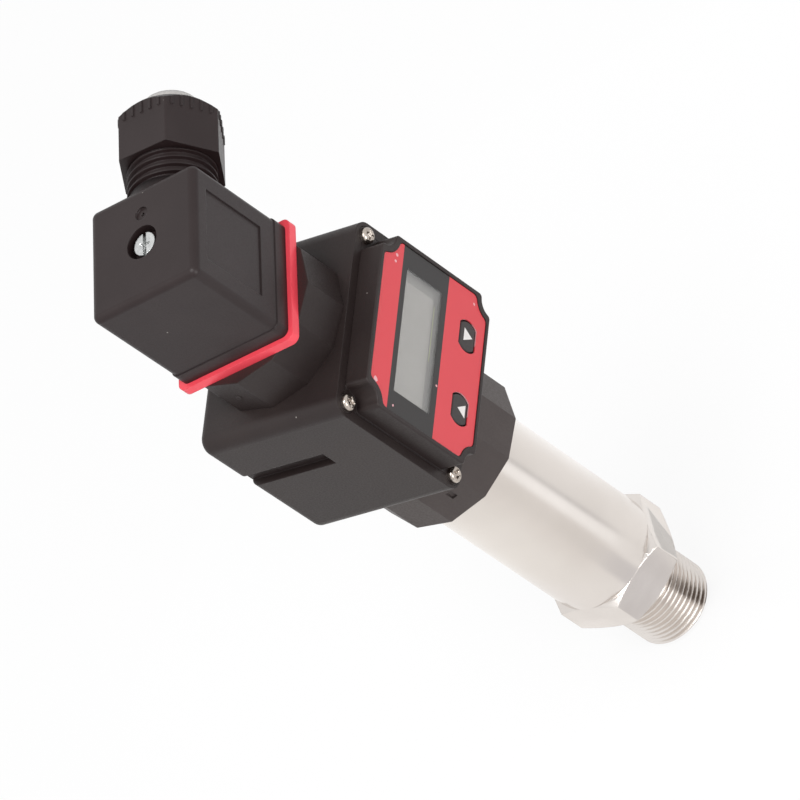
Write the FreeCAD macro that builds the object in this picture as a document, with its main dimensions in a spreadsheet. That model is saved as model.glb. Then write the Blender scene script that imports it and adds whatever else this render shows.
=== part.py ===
"""Pressure transmitter with a display head: M20 process fitting at the bottom, stainless tube,
plastic head with two buttons, and a square four-pole connector with its cable gland on top.
Millimetres, +Z up along the axis.

The origin lies on the axis in the sealing face under the hexagon. The display faces -Y and the
gland points to +X, turned with the connector by plug_turn. Every size is a cell of the Sizes
sheet and every feature is bound to it.
"""
import math
import os
import FreeCAD
import Part
import Sketcher
from FreeCAD import Rotation, Vector

doc = FreeCAD.newDocument("PressureTransmitter")
sizes = doc.addObject("Spreadsheet::Sheet", "Sizes")
sheet_row = [0]
nodes = []

X, Y, Z = Vector(1, 0, 0), Vector(0, 1, 0), Vector(0, 0, 1)


# ---------------------------------------------------------------- helpers: the sheet, primitives and booleans
def enter(alias, content):
    sheet_row[0] += 1
    sizes.set("A%d" % sheet_row[0], alias)
    sizes.set("B%d" % sheet_row[0], content)
    sizes.setAlias("B%d" % sheet_row[0], alias)


def value(alias):
    return float(sizes.get(alias))


def bind(obj, **expressions):
    """Binds properties to formulas of the sheet's aliases; a double underscore stands for a dot."""
    for prop, formula in expressions.items():
        obj.setExpression(prop.replace("__", "."), in_sheet(formula))


def in_sheet(formula):
    """Puts the sheet's name before each alias of a formula."""
    out, word = "", ""
    for ch in str(formula) + " ":
        if ch.isalnum() or ch == "_":
            word += ch
            continue
        known = word and not word[0].isdigit() and ch != "(" and word not in ("deg", "mm")
        out += ("Sizes." + word if known else word) + ch
        word = ""
    return out.strip()


def place(obj, x="0", y="0", z="0", turn=None, axis=None):
    if axis is not None:
        obj.Placement = FreeCAD.Placement(Vector(), axis)
    bind(obj, Placement__Base__x=x, Placement__Base__y=y, Placement__Base__z=z)
    if turn is not None:
        obj.Placement = FreeCAD.Placement(Vector(), Rotation(Z, 1))
        bind(obj, Placement__Rotation__Angle=turn)
    return obj


ALONG = {"X": Rotation(Y, 90), "Y": Rotation(X, -90), "Z": Rotation()}


def box(name, x0, x1, y0, y1, z0, z1):
    b = doc.addObject("Part::Box", name)
    bind(b, Length="(%s) - (%s)" % (x1, x0), Width="(%s) - (%s)" % (y1, y0),
         Height="(%s) - (%s)" % (z1, z0))
    return place(b, x0, y0, z0)


def rod(name, radius, start, end, along="Z", x="0", y="0", z="0"):
    """A cylinder between two coordinates on the axis named."""
    c = doc.addObject("Part::Cylinder", name)
    bind(c, Radius=radius, Height="(%s) - (%s)" % (end, start))
    at = {"X": (start, y, z), "Y": (x, start, z), "Z": (x, y, start)}[along]
    return place(c, *at, axis=ALONG[along])


def prism(name, sides, flats, z0, z1, turn):
    """A regular prism given by its width over flats; turn is the angle of one corner."""
    p = doc.addObject("Part::Prism", name)
    p.Polygon = sides
    bind(p, Circumradius="(%s) / 2 / cos(%s)" % (flats, 180.0 / sides), Height="(%s) - (%s)" % (z1, z0))
    return place(p, z=z0, turn=turn)


def ring(name, major, minor, z, x="0", y="0"):
    t = doc.addObject("Part::Torus", name)
    bind(t, Radius1=major, Radius2=minor)
    return place(t, x, y, z)


def cut(name, base, *tools):
    for i, tool in enumerate(tools):
        c = doc.addObject("Part::Cut", name if i == len(tools) - 1 else "%s_step%d" % (name, i))
        c.Base, c.Tool = base, tool
        base = c
    return base


def fuse(name, *items):
    f = doc.addObject("Part::MultiFuse", name)
    f.Shapes = list(items)
    f.Refine = True
    return f


def common(name, a, b):
    c = doc.addObject("Part::Common", name)
    c.Base, c.Tool = a, b
    return c


def group(name, *items):
    g = doc.addObject("Part::Compound", name)
    g.Links = list(items)
    return g


def soften(name, base, radius, pick):
    """Rounds the edges that pick accepts."""
    doc.recompute()
    f = doc.addObject("Part::Fillet", name)
    f.Base = base
    f.Edges = [(i, radius, radius) for i, e in enumerate(base.Shape.Edges, 1) if pick(e)]
    return f


def runs_along(edge, direction):
    """True for a straight edge parallel to a direction."""
    ends = [v.Point for v in edge.Vertexes]
    straight = len(ends) == 2 and isinstance(edge.Curve, (Part.Line, Part.LineSegment))
    return straight and abs((ends[1] - ends[0]).normalize().dot(direction)) > 0.999


def lies_at(edge, direction, level):
    """True for an edge that lies in the plane at this level along a direction."""
    return all(abs(v.Point.dot(direction) - level) < 0.01 for v in edge.Vertexes)


def turned(name, outline, along="Z"):
    """A PartDesign body revolved from a closed outline of (radius, position along the axis) formulas."""
    body = doc.addObject("PartDesign::Body", name)
    role = "XZ_Plane" if along == "Z" else "XY_Plane"
    plane = [f for f in body.Origin.OriginFeatures if f.Role == role][0]
    sk = body.newObject("Sketcher::SketchObject", name + "_outline")
    sk.AttachmentSupport = [(plane, "")]
    sk.MapMode = "FlatFace"
    now = [(evaluate(r), evaluate(p)) for r, p in outline]
    flat = [(Vector(r, p, 0) if along == "Z" else Vector(p, r, 0)) for r, p in now]
    for i in range(len(flat)):
        sk.addGeometry(Part.LineSegment(flat[i], flat[(i + 1) % len(flat)]), False)
    for i in range(len(flat)):
        sk.addConstraint(Sketcher.Constraint("Coincident", i, 2, (i + 1) % len(flat), 1))
    for i, (r, p) in enumerate(outline):
        pair = (("DistanceX", r), ("DistanceY", p)) if along == "Z" else (("DistanceX", p),
                                                                          ("DistanceY", r))
        for kind, formula in pair:
            at = flat[i].x if kind == "DistanceX" else flat[i].y
            if abs(at) < 1e-9 and formula in ("0", 0):
                sk.addConstraint(Sketcher.Constraint("PointOnObject", i, 1,
                                                     -2 if kind == "DistanceX" else -1))
                continue
            n = sk.addConstraint(Sketcher.Constraint(kind, -1, 1, i, 1, at))
            sk.setExpression("Constraints[%d]" % n, in_sheet(formula))
    rev = body.newObject("PartDesign::Revolution", name + "_turning")
    rev.Profile = sk
    rev.ReferenceAxis = (sk, ["V_Axis" if along == "Z" else "H_Axis"])
    rev.Angle = 360
    body.Tip = rev
    return body


def square(name, side, z0, z1, x="0", y="0"):
    """A square block about a vertical line."""
    half = "(%s) / 2" % side
    return box(name, "%s - %s" % (x, half), "%s + %s" % (x, half), "%s - %s" % (y, half),
               "%s + %s" % (y, half), z0, z1)


def with_plug(name, *items):
    """Turns pieces about the axis together with the connector."""
    return place(group(name, *items), turn="plug_turn")


def evaluate(formula):
    """The present value of a formula, read from a scratch cell of the sheet."""
    sizes.set("H1", "=" + str(formula))
    sizes.recompute()
    got = sizes.get("H1")
    return float(getattr(got, "Value", got))


def node(name, obj):
    """Marks the finished piece that is written under this name."""
    obj.Label = name
    nodes.append(obj)
    return obj


# ---------------------------------------------------------------- driving sizes
DRIVING = {
    "thread_dia": 20,  # M20 x 1.5 process thread, major diameter
    "thread_length": 18,  # from the sealing face to the end
    "thread_chamfer": 1,
    "relief_dia": 17.6,  # thread relief under the hexagon
    "relief_width": 2.5,
    "port_dia": 5,
    "hex_flats": 27,  # spanner size of the fitting
    "hex_height": 10,
    "hex_turn": 23.3,  # angle of one corner of the hexagon
    "washer_face_dia": 25.6,  # turned face under the hexagon
    "spigot_height": 5,  # spigot that the tube is welded over
    "tube_dia": 27.2,
    "tube_wall": 1.5,
    "weld_gap": 0.05,
    "cavity_dia": 19.2,  # sensor cavity in the fitting
    "cavity_floor": 3,
    "capsule_dia": 19,
    "capsule_height": 7.2,
    "capsule_pin": 0.4,
    "seal_wire": 1.8,  # O-ring section under the capsule
    "collar_socket": 7.6,  # how far the tube goes into the lower collar
    "tube_length": 60,
    "lower_collar_flats": 35,
    "lower_collar_turn": 9.9,
    "collar_round": 0.4,
    "gate_width": 1.3,  # moulding marks: a recess in the lower collar, a pip on the upper one
    "gate_tall": 2.4,
    "gate_depth": 0.5,
    "gate_aside": 0.6,
    "gate_drop": 10.1,
    "upper_collar_flats": 34.5,
    "upper_collar_turn": 5.3,
    "upper_collar_height": 11.65,
    "lower_collar_height": 16.8,
    "head_height": 41,
    "head_width": 45.4,
    "head_front": 18.6,  # front ledge of the housing, in front of the axis
    "head_back": 18.4,  # back of the housing, behind the axis
    "head_wall": 3.6,
    "head_round": 3.3,  # long edges of the housing
    "back_round": 2,  # edges of its back
    "neck_dia": 22,  # collar necks through the housing
    "neck_bore": 16,
    "neck_length": 8,
    "nut_height": 3.5,  # lock nuts inside the housing
    "nut_flats": 28,
    "slot_rise": 22.8,  # guide slots above the underside of the housing
    "slot_width": 4.4,
    "slot_depth": 1.75,
    "slot_start": 4.2,  # front end of the slots, in front of the axis
    "rim": 2.25,  # housing rim round the cover
    "rim_z": 2.2,
    "plate_thick": 1.6,  # cover's plate in the rim
    "seal_thick": 0.6,  # cover seal
    "bezel_height": 5.75,  # cover in front of the ledge
    "bezel_width": 40.4,
    "bezel_tall": 36.2,
    "bezel_rise": 20.7,  # cover's centre above the underside of the housing
    "bezel_wall": 1.8,
    "bezel_round": 1.0,  # convex corners of the cover and of the label
    "label_round": 1.3,
    "edge_round": 0.3,
    "notch_radius": 3.2,  # notch in the bezel round each screw
    "screw_x": 19.6,
    "screw_z": 17.6,
    "screw_rise": 20.2,
    "ear_radius": 2.15,
    "cover_skin": 2.2,  # front wall of the cover behind the label
    "label_inset": 1.0,  # rim of the cover round the label
    "label_recess": 0.5,
    "label_thick": 0.3,
    "label_gap": 0.1,
    "label_notch": 4.7,
    "window_width": 28.6,
    "window_tall": 11.6,
    "window_rise": 3.55,  # window's centre above the cover's
    "glass_lip": 0.8,  # how far the glass goes past the window in the label
    "glass_depth": 1.2,  # glass behind the label's face
    "lcd_width": 35,
    "lcd_tall": 19,
    "fit_gap": 0.2,
    "board_thick": 1.6,
    "board_gap": 4.6,  # from the cover's skin to the display board
    "board_side": 5.7,  # from the housing's sides to the display board
    "board_rise": 4.8,
    "board_drop": 5.2,  # from the housing's top to the board
    "post_dia": 2.4,  # posts of the cover that carry the display board
    "post_low_x": 14.5,
    "post_low_rise": 8.3,
    "post_top_x": 12,
    "post_top_rise": 34.4,
    "button_x": 8.6,
    "button_rise": 9.0,
    "button_dia": 6.8,
    "button_flats": 4.9,
    "button_flange": 8.4,
    "button_lip": 0.8,
    "button_travel": 0.5,
    "plunger_dia": 2.1,
    "switch_side": 5,
    "switch_height": 2,
    "cover_screw_head": 3.6,
    "cover_screw_shank": 2.2,
    "cover_screw_length": 9,
    "cover_head_height": 1.3,
    "plug_turn": 9.75,  # connector turned against the display
    "gasket_side": 30,
    "gasket_thick": 2.15,
    "plug_flange": 27.9,
    "flange_height": 3.4,
    "plug_side": 27.5,
    "plug_height": 29.3,
    "plug_wall": 1.6,
    "plug_roof": 5.2,
    "plug_round": 1.7,
    "screw_well": 7.7,
    "well_depth": 3,
    "dimple_at": 7.1,
    "dimple_dia": 3.1,
    "dimple_depth": 0.5,
    "panel_x_low": 8.5,  # recessed field on the connector's front
    "panel_x_high": 8.8,
    "panel_rise": 8.0,  # above the gasket
    "panel_tall": 17.4,
    "panel_depth": 0.3,
    "gland_rise": 19.05,  # axis of the gland above the gasket
    "gland_thread": 18,  # thread of the cable gland
    "gland_pitch": 1.4,
    "gland_neck_end": 27,
    "gland_bore": 12.6,
    "gland_nut_flats": 20.6,
    "gland_nut_start": 22.8,
    "gland_nut_end": 35.7,
    "gland_nut_turn": 3,  # angle of one corner from +Y towards +Z
    "nut_edge_round": 0.4,
    "rib_pitch": 2.2,  # ribs at the outer end of each of the nut's faces
    "rib_width": 0.6,
    "rib_height": 0.25,
    "rib_length": 3.4,
    "gland_mouth": 13,
    "gland_shoulder": 29,
    "gland_washer_thick": 1,
    "gland_dome": 3.4,  # dust plug in front of the nut
    "gland_fit": 0.1,
    "socket_side": 21,  # raised part of the connector's socket
    "socket_base_side": 23,
    "socket_sunk": 3,
    "socket_rise": 0.6,
    "blade_width": 6.3,
    "blade_thick": 0.8,
    "blade_at": 9,  # blades from the axis
    "blade_height": 9.0,  # blades above the gasket
    "insert_side": 24.2,
    "insert_height": 14.5,  # terminal block above the gasket
    "contact_side": 3,
    "contact_height": 6,
    "plug_screw_dia": 3,
    "plug_screw_head": 5.3,
    "plug_screw_head_height": 2.2,
    "insert_nut_dia": 5.2,
    "wire_dia": 1.3,
    "wire_spread": 4,  # between the wires from the connector
    "wire_row": 3.6,  # those wires behind the axis
    "amplifier_width": 17,
    "amplifier_rise": 3.5,  # amplifier board above the spigot
    "amplifier_tall": 36,
}

DERIVED = {
    "tube_bore": "tube_dia - 2 * tube_wall",
    "spigot_dia": "tube_bore - 2 * weld_gap",
    "spigot_top": "hex_height + spigot_height",
    "capsule_low": "cavity_floor + seal_wire",
    "capsule_top": "capsule_low + capsule_height",
    "amplifier_low": "spigot_top + amplifier_rise",
    "tube_top": "hex_height + tube_length",
    "lower_collar_low": "tube_top - collar_socket",
    "head_low": "lower_collar_low + lower_collar_height",
    "head_top": "head_low + head_height",
    "slot_low": "head_low + slot_rise",
    "screw_mid": "head_low + screw_rise",
    "bezel_mid": "head_low + bezel_rise",
    "window_z": "bezel_mid + window_rise",
    "button_z": "head_low + button_rise",
    "board_half": "head_width / 2 - board_side",
    "board_low": "head_low + board_rise",
    "board_tall": "head_height - board_rise - board_drop",
    "post_low_z": "head_low + post_low_rise",
    "post_top_z": "head_low + post_top_rise",
    "plate_back": "head_front - plate_thick",
    "seal_back": "head_front - plate_thick - seal_thick",
    "cover_front": "head_front + bezel_height",
    "skin_front": "cover_front - label_recess",
    "skin_back": "skin_front - cover_skin",
    "board_front": "skin_back - board_gap",
    "header_back": "board_thick + 3 - board_front",
    "lower_turn": "bezel_mid - 1.2",
    "upper_turn": "bezel_mid + 1.2",
    "lower_wire_low": "amplifier_low + amplifier_tall - 4",
    "collar_top": "head_top + upper_collar_height",
    "upper_wire_top": "collar_top - socket_sunk - blade_thick",
    "flange_low": "collar_top + gasket_thick",
    "seam": "flange_low + flange_height",
    "plug_top": "flange_low + plug_height",
    "panel_low": "flange_low + panel_rise",
    "gland_z": "flange_low + gland_rise",
    "blade_top": "flange_low + blade_height",
    "insert_top": "flange_low + insert_height",
}
for alias, amount in DRIVING.items():
    enter(alias, str(amount))
for alias, formula in DERIVED.items():
    enter(alias, "=" + formula)
doc.recompute()


# ---------------------------------------------------------------- process fitting and tube
def process_fitting():
    """Turned from hexagon bar: male thread, relief, chamfered hexagon, spigot, sensor cavity and port."""
    corner = "hex_flats / 2 / cos(30)"
    slope = "tan(30)"
    outline = [
        ("port_dia / 2", "-thread_length"),
        ("thread_dia / 2 - thread_chamfer", "-thread_length"),
        ("thread_dia / 2", "thread_chamfer - thread_length"),
        ("thread_dia / 2", "-relief_width"),
        ("relief_dia / 2", "-relief_width"),
        ("relief_dia / 2", "0"),
        ("washer_face_dia / 2", "0"),
        (corner, "(%s - washer_face_dia / 2) * %s" % (corner, slope)),
        (corner, "hex_height - (%s - tube_dia / 2) * %s" % (corner, slope)),
        ("tube_dia / 2", "hex_height"),
        ("spigot_dia / 2", "hex_height"),
        ("spigot_dia / 2", "spigot_top"),
        ("cavity_dia / 2", "spigot_top"),
        ("cavity_dia / 2", "cavity_floor"),
        ("port_dia / 2", "cavity_floor"),
    ]
    bar = prism("hex_bar", 6, "hex_flats", "-thread_length", "spigot_top", "hex_turn")
    return node("process_fitting", common("fitting_solid", turned("fitting_turned", outline), bar))


def sensor():
    """The pressure capsule on its O-ring, held down by a ring and soldered to the amplifier by four pins."""
    node("sensor_o_ring", ring("capsule_seal", "cavity_dia / 2 - 1.2 * seal_wire", "seal_wire / 2",
                               "cavity_floor + seal_wire / 2"))
    capsule = turned("capsule_turned", [
        ("0", "capsule_low"), ("capsule_dia / 2", "capsule_low"), ("capsule_dia / 2", "capsule_top"),
        ("0", "capsule_top")])
    node("sensor_capsule", capsule)
    hold = turned("retaining_turned", [
        ("capsule_dia / 3", "capsule_top"), ("capsule_dia / 2", "capsule_top"), ("capsule_dia / 2",
                                                                                 "spigot_top"),
        ("capsule_dia / 3", "spigot_top")])
    node("sensor_retaining_ring", hold)
    pins = [rod("pin%d" % i, "capsule_pin", "capsule_top", "amplifier_low + 2", x="%g" % (2.5 * i - 3.75),
                y="-board_thick / 2 - capsule_pin") for i in range(4)]
    node("sensor_pins", group("pin_row", *pins))
    half = "amplifier_width / 2"
    board = box("amplifier_plate", "-" + half, half, "-board_thick / 2", "board_thick / 2", "amplifier_low",
                "amplifier_low + amplifier_tall")
    chips = [box("chip%d" % i, "-%g" % (w / 2), "%g" % (w / 2), "board_thick / 2", "board_thick / 2 + 1.6",
                 "amplifier_low + %g" % z, "amplifier_low + %g" % (z + 5)) for i, (w, z) in
             enumerate(((6, 6), (9, 15), (5, 26)))]
    node("amplifier_board", fuse("amplifier_solid", board, *chips))


def tube():
    node("body_tube", turned("tube_turned", [
        ("tube_bore / 2", "hex_height"), ("tube_dia / 2", "hex_height"), ("tube_dia / 2", "tube_top"),
        ("tube_bore / 2", "tube_top")]))


# ---------------------------------------------------------------- collars and their lock nuts
def collars():
    """Twelve-sided plastic collars, screwed through the housing's floor and roof with nuts inside."""
    low = prism("lower_prism", 12, "lower_collar_flats", "lower_collar_low", "head_low",
                "lower_collar_turn")
    low = soften("lower_sides", low, value("collar_round"), lambda e: runs_along(e, Z))
    low_end = value("lower_collar_low")
    low = soften("lower_soft_end", low, value("collar_round"), lambda e: lies_at(e, Z, low_end))
    low_neck = rod("lower_neck", "neck_dia / 2", "head_low - 1", "head_low + neck_length")
    socket = rod("tube_socket", "tube_dia / 2 + weld_gap", "lower_collar_low - 1", "tube_top")
    low_bore = rod("lower_bore", "neck_bore / 2", "lower_collar_low", "head_low + neck_length + 1")
    groove = rod("seal_groove", "tube_dia / 2 + 1.5", "tube_top - 5", "tube_top - 3")
    mark = box("gate_recess", "lower_collar_flats / 2 - gate_depth", "lower_collar_flats / 2 + 1",
               "gate_aside - gate_width / 2", "gate_aside + gate_width / 2",
               "head_low - gate_drop - gate_tall / 2",
               "head_low - gate_drop + gate_tall / 2")
    mark = place(group("gate_recess_turned", mark), turn="lower_collar_turn + 195")
    node("lower_collar", cut("lower_collar_solid", fuse("lower_body", low, low_neck), socket, low_bore,
                             groove, mark))
    node("tube_seal_ring", ring("tube_seal", "tube_dia / 2 + 0.75", "0.75", "tube_top - 4"))
    inner = "head_low + head_wall"
    low_nut = prism("low_nut_sides", 6, "nut_flats", inner, inner + " + nut_height", "0")
    low_nut_bore = rod("low_nut_bore", "neck_dia / 2", inner + " - 1", inner + " + nut_height + 1")
    node("lower_lock_nut", cut("lower_nut_solid", low_nut, low_nut_bore))

    up = prism("upper_prism", 12, "upper_collar_flats", "head_top", "collar_top", "upper_collar_turn")
    up = soften("upper_sides", up, value("collar_round"), lambda e: runs_along(e, Z))
    up_neck = rod("upper_neck", "neck_dia / 2", "head_top - neck_length", "head_top + 1")
    up_bore = rod("upper_bore", "neck_bore / 2", "head_top - neck_length - 1", "collar_top")
    seat = with_plug("socket_seat", square("socket_seat_block", "socket_base_side",
                                           "collar_top - socket_sunk",
                                          "collar_top + 1"))
    room = with_plug("tag_room", square("tag_room_block", "socket_base_side - 2",
                                        "collar_top - socket_sunk - 1.5",
                                        "collar_top"))
    pip = rod("gate_pip", "gate_width / 2", "upper_collar_flats / 2 - 1",
              "upper_collar_flats / 2 + gate_depth / 2", "X",
              z="head_top + upper_collar_height / 2")
    pip = place(group("gate_pip_turned", pip), turn="upper_collar_turn + 165")
    node("upper_collar", cut("upper_collar_solid", fuse("upper_body", up, up_neck, pip), up_bore, seat,
                             room))
    roof = "head_top - head_wall"
    up_nut = prism("up_nut_sides", 6, "nut_flats", roof + " - nut_height", roof, "0")
    up_nut_bore = rod("up_nut_bore", "neck_dia / 2", roof + " - nut_height - 1", roof + " + 1")
    node("upper_lock_nut", cut("upper_nut_solid", up_nut, up_nut_bore))


# ---------------------------------------------------------------- display housing
def display_housing():
    """Moulded box, open in front, with rounded long edges, screw bosses and a guide slot in each side."""
    half = "head_width / 2"
    block = box("head_block", "-" + half, half, "-head_front", "head_back", "head_low", "head_top")
    block = soften("head_rounded", block, value("head_round"), lambda e: runs_along(e, Y))
    back = value("head_back")
    block = soften("head_soft_back", block, value("back_round"), lambda e: lies_at(e, Y, back))
    rim = box("rim_recess", "rim - " + half, half + " - rim", "-head_front - 1", "-seal_back",
              "head_low + rim_z", "head_top - rim_z")
    inside = box("head_inside", "head_wall - " + half, half + " - head_wall", "-head_front",
                 "head_back - head_wall",
                 "head_low + head_wall", "head_top - head_wall")
    bosses, holes = [], []
    for i, (sx, sz) in enumerate(corners()):
        at = dict(x="%d * screw_x" % sx, z="screw_mid + %d * screw_z" % sz)
        bosses.append(rod("boss%d" % i, "1.5 * cover_screw_shank", "-seal_back",
                          "head_back - head_wall + 0.5", "Y", **at))
        holes.append(rod("boss_hole%d" % i, "cover_screw_shank / 2", "-head_front",
                         "cover_screw_length - head_front + 1",
                         "Y", **at))
        holes.append(rod("ear_seat%d" % i, "ear_radius + label_gap / 2", "-head_front - 1", "-seal_back",
                         "Y", **at))
    shell = fuse("head_shell", cut("head_hollow", block, rim, inside), *bosses)
    envelope = common("head_walls", shell, block)
    slots = [box("slot%d" % i, *span, "-slot_start", "head_back + 1", "slot_low", "slot_low + slot_width")
             for i, span in enumerate((("-%s - 1" % half, "slot_depth - " + half),
                                       (half + " - slot_depth", half + " + 1")))]
    passage = rod("head_passage", "neck_dia / 2 + weld_gap", "head_low - 1", "head_top + 1")
    node("display_housing", cut("head_solid", envelope, passage, *(slots + holes)))


def corners():
    return [(sx, sz) for sx in (-1, 1) for sz in (-1, 1)]


# ---------------------------------------------------------------- cover, its seal and screws
def cover_outline(name, width, tall, notch, front, back, soft=None):
    """A block with a round notch at each corner about the screws, and its sharp corners rounded."""
    half = "(%s) / 2" % width
    block = box(name + "_block", "-" + half, half, "-(%s)" % front, "-(%s)" % back,
                "bezel_mid - (%s) / 2" % tall, "bezel_mid + (%s) / 2" % tall)
    notches = [rod("%s_notch%d" % (name, i), notch, "-(%s) - 1" % front, "1 - (%s)" % back, "Y",
                   x="%d * screw_x" % sx, z="screw_mid + %d * screw_z" % sz) for i, (sx,
                                                                                     sz) in enumerate(corners())]
    notched = cut(name, block, *notches)
    return soften(name + "_soft", notched, value(soft), lambda e: runs_along(e, Y)) if soft else notched


def button_shape(name, width, flats, front, back, side):
    """A round rod with two flats, above and below."""
    at = dict(x="%d * button_x" % side, z="button_z")
    round_rod = rod(name + "_round", "(%s) / 2" % width, "-(%s)" % front, "-(%s)" % back, "Y", **at)
    flat = box(name + "_flat", "%d * button_x - (%s)" % (side, width),
               "%d * button_x + (%s)" % (side, width),
               "-(%s)" % front, "-(%s)" % back, "button_z - (%s) / 2" % flats,
               "button_z + (%s) / 2" % flats)
    return common(name, round_rod, flat)


def cover():
    """Front cover: a plate in the housing's rim with an ear under each screw, and the notched bezel on it."""
    gap = "label_gap"
    plate = box("cover_plate", "rim + %s - head_width / 2" % gap, "head_width / 2 - rim - " + gap,
                "-head_front",
                "-plate_back", "head_low + rim_z + " + gap, "head_top - rim_z - " + gap)
    ears = [rod("ear%d" % i, "ear_radius - %s / 2" % gap, "-head_front", "-plate_back", "Y",
                x="%d * screw_x" % sx,
                z="screw_mid + %d * screw_z" % sz) for i, (sx, sz) in enumerate(corners())]
    bezel = cover_outline("bezel", "bezel_width", "bezel_tall", "notch_radius", "cover_front", "head_front",
                          "bezel_round")
    rim_front = -value("cover_front")
    bezel = soften("bezel_edge", bezel, value("edge_round"), lambda e: lies_at(e, Y, rim_front))
    inner = cover_outline("bezel_inside", "bezel_width - 2 * bezel_wall", "bezel_tall - 2 * bezel_wall",
                          "notch_radius + bezel_wall", "skin_back", "plate_back - 1")
    recess = cover_outline("label_seat", "bezel_width - 2 * label_inset", "bezel_tall - 2 * label_inset",
                           "label_notch", "cover_front + 1", "skin_front", "label_round")
    glass_half = "window_width / 2 + glass_lip + fit_gap"
    glass = box("glass_opening", "-(%s)" % glass_half, glass_half, "-cover_front - 1", "1 - skin_back",
                "window_z - window_tall / 2 - glass_lip - fit_gap",
                "window_z + window_tall / 2 + glass_lip + fit_gap")
    holes = [button_shape("button_hole%d" % i, "button_dia + 2 * fit_gap", "button_flats + 2 * fit_gap",
                          "cover_front + 1", "skin_back - 1", side) for i, side in enumerate((-1, 1))]
    screw_holes = [rod("cover_hole%d" % i, "cover_screw_shank / 2 + label_gap", "-head_front - 1",
                       "1 - plate_back", "Y",
                       x="%d * screw_x" % sx, z="screw_mid + %d * screw_z" % sz)
                   for i, (sx, sz) in enumerate(corners())]
    body = cut("cover_hollow", fuse("cover_body", plate, bezel, *ears), inner)
    posts = [rod("post%d" % i, "post_dia / 2", "-skin_back - 0.5", "-board_front", "Y", x=x, z=z)
             for i, (x, z) in enumerate((("-post_low_x", "post_low_z"), ("post_low_x", "post_low_z"),
                                         ("-post_top_x", "post_top_z"), ("post_top_x", "post_top_z")))]
    body = fuse("cover_posts", body, *posts)
    node("display_cover", cut("cover_solid", body, recess, glass, *(holes + screw_holes)))

    seal = box("seal_sheet", "rim + %s - head_width / 2" % gap, "head_width / 2 - rim - " + gap,
               "-plate_back",
               "-seal_back", "head_low + rim_z + " + gap, "head_top - rim_z - " + gap)
    opening = box("seal_opening", "head_wall - head_width / 2", "head_width / 2 - head_wall",
                  "-plate_back - 1",
                  "1 - seal_back", "head_low + head_wall", "head_top - head_wall")
    seal_holes = [rod("seal_hole%d" % i, "cover_screw_shank / 2 + label_gap", "-head_front - 1",
                      "1 - seal_back", "Y",
                      x="%d * screw_x" % sx, z="screw_mid + %d * screw_z" % sz)
                  for i, (sx, sz) in enumerate(corners())]
    node("cover_seal", cut("seal_solid", seal, opening, *seal_holes))

    screws = []
    for i, (sx, sz) in enumerate(corners()):
        at = dict(x="%d * screw_x" % sx, z="screw_mid + %d * screw_z" % sz)
        head = rod("screw_head%d" % i, "cover_screw_head / 2", "-head_front - cover_head_height",
                   "-head_front", "Y", **at)
        front = value("head_front") + value("cover_head_height")
        head = soften("screw_dome%d" % i, head, 0.6 * value("cover_head_height"),
                      lambda e: lies_at(e, Y, -front))
        shank = rod("screw_shank%d" % i, "cover_screw_shank / 2", "-head_front",
                    "cover_screw_length - head_front", "Y", **at)
        cross = [box("cross%d_%d" % (i, j), "%s - %s" % (at["x"], w), "%s + %s" % (at["x"], w),
                     "-head_front - cover_head_height - 1", "-head_front - 0.5 * cover_head_height",
                     "%s - %s" % (at["z"], t), "%s + %s" % (at["z"], t))
                 for j, (w, t) in enumerate((("cover_screw_head / 3", "cover_screw_head / 12"),
                                             ("cover_screw_head / 12", "cover_screw_head / 3")))]
        screws.append(cut("cover_screw%d" % i, fuse("screw_blank%d" % i, head, shank), *cross))
    node("cover_screws", group("cover_screw_set", *screws))


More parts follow.
